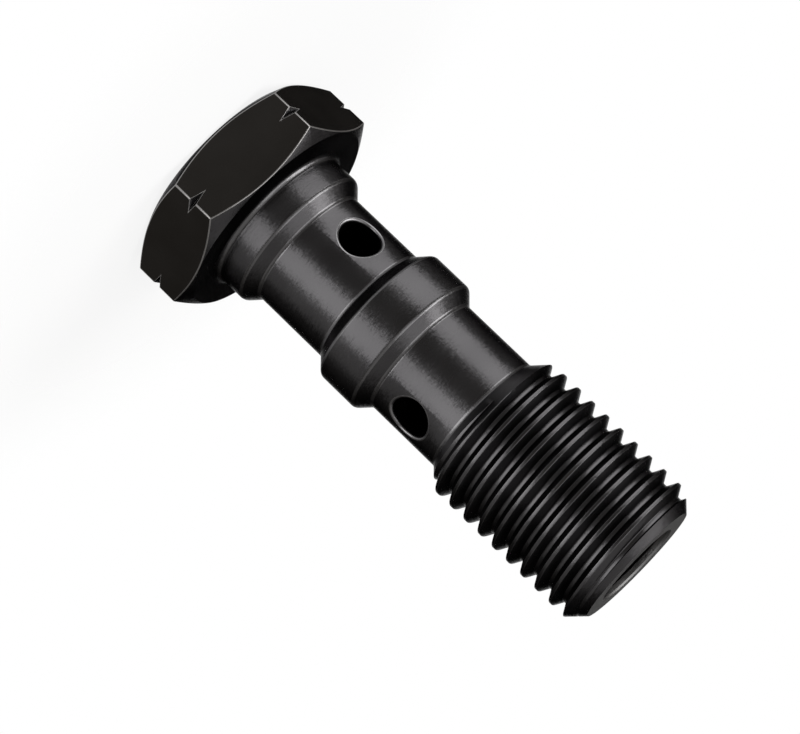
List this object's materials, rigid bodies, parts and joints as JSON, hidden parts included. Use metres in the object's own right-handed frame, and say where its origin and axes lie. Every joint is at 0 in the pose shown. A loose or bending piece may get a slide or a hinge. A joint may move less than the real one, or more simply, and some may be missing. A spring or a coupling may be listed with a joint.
{
  "type": "double banjo bolt",
  "caption": "Hollow black steel bolt with a hexagon head, a collar and land between necked waists, cross-drilled ports, a threaded end and a blind axial bore.",
  "frame": {"origin": "centre of the head's flat outer face, on the bolt's axis; the bolt stands on that face", "axes": "+Z along the bolt's axis from the head to the threaded tip; +X through a corner of the hexagon and through the port next to the head; +Y through the port next to the thread"},
  "size_m": [0.0146, 0.0128, 0.0316],
  "materials": {
    "black_oxide_steel": "satin"
  },
  "bodies": {
    "root": {"bolt": "black_oxide_steel"}
  },
  "joints": []
}
